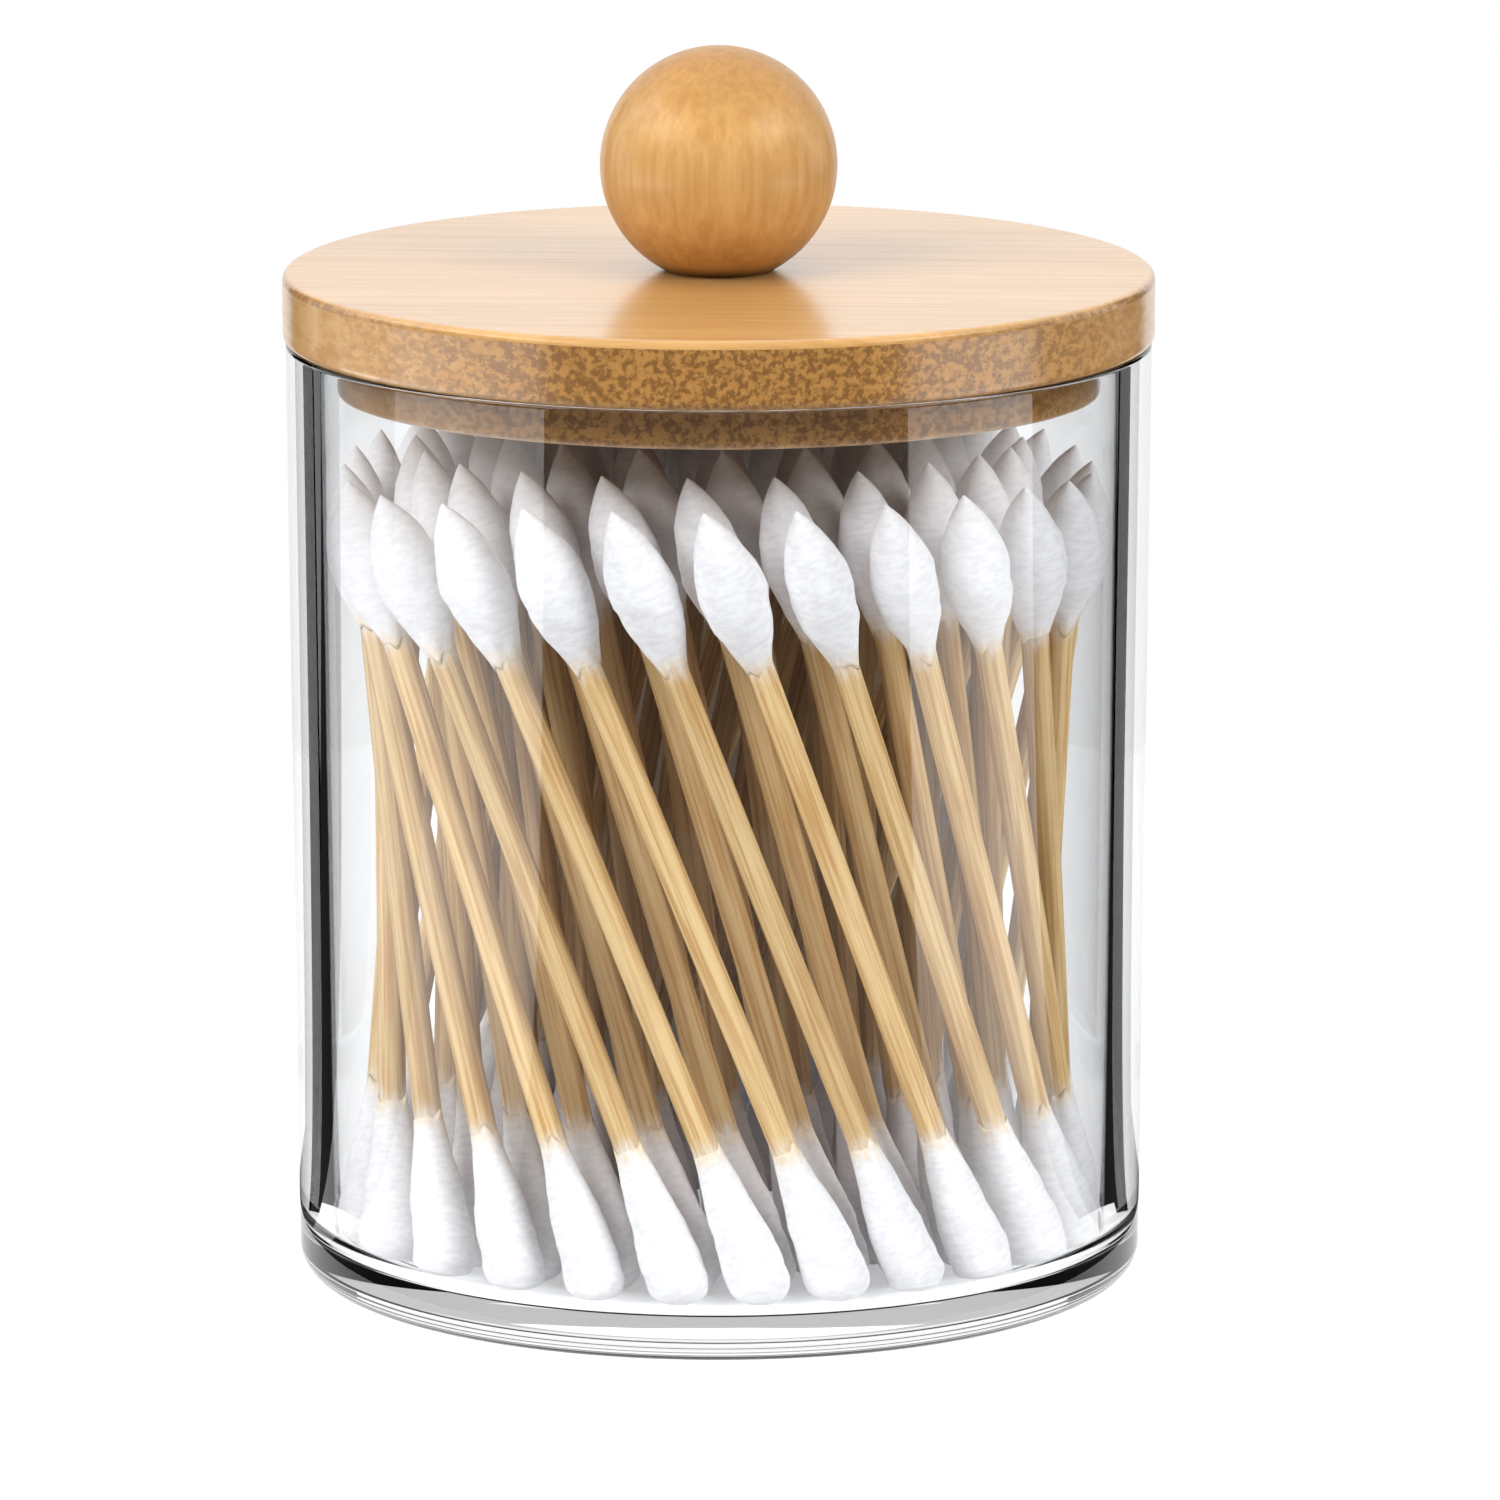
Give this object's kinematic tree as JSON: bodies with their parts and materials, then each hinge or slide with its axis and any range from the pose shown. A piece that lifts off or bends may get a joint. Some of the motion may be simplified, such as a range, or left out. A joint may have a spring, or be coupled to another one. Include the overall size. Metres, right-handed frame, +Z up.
{
  "type": "cotton swab holder",
  "caption": "Round clear jar that holds wooden cotton swabs upright in a twisted sheaf, with a loose bamboo plug lid and a ball knob to lift it by.",
  "frame": {"origin": "middle of the foot, on the surface that the jar stands on", "axes": "+Z up along the axis of the jar, -Y towards the viewer of the picture, +X to the right of it"},
  "size_m": [0.0764, 0.0764, 0.1092],
  "materials": {
    "clear_plastic": "clear and polished",
    "bamboo": "thin satin lacquer",
    "screw_steel": "zinc plated",
    "swab": "white cotton buds on a plain wooden stick"
  },
  "bodies": {
    "jar": {"jar": "clear_plastic", "swab_01": "swab", "swab_02": "swab", "swab_03": "swab", "swab_04": "swab", "swab_05": "swab", "swab_06": "swab", "swab_07": "swab", "swab_08": "swab", "swab_09": "swab", "swab_10": "swab", "swab_11": "swab", "swab_12": "swab", "swab_13": "swab", "swab_14": "swab", "swab_15": "swab", "swab_16": "swab", "swab_17": "swab", "swab_18": "swab", "swab_19": "swab", "swab_20": "swab", "swab_21": "swab", "swab_22": "swab", "swab_23": "swab", "swab_24": "swab", "swab_25": "swab", "swab_26": "swab", "swab_27": "swab", "swab_28": "swab", "swab_29": "swab", "swab_30": "swab", "swab_31": "swab", "swab_32": "swab", "swab_33": "swab", "swab_34": "swab", "swab_35": "swab", "swab_36": "swab", "swab_37": "swab", "swab_38": "swab", "swab_39": "swab", "swab_40": "swab", "swab_41": "swab", "swab_42": "swab", "swab_43": "swab", "swab_44": "swab", "swab_45": "swab", "swab_46": "swab", "swab_47": "swab", "swab_48": "swab", "swab_49": "swab", "swab_50": "swab", "swab_51": "swab", "core_swabs": "swab"},
    "lid": {"lid": "bamboo", "knob": "bamboo", "knob_screw": "screw_steel"}
  },
  "joints": [
    {"name": "lid_lift", "type": "slide", "parent": "jar", "child": "lid", "axis": [0, 0, 1], "range_m": [0, 0.08]}
  ]
}
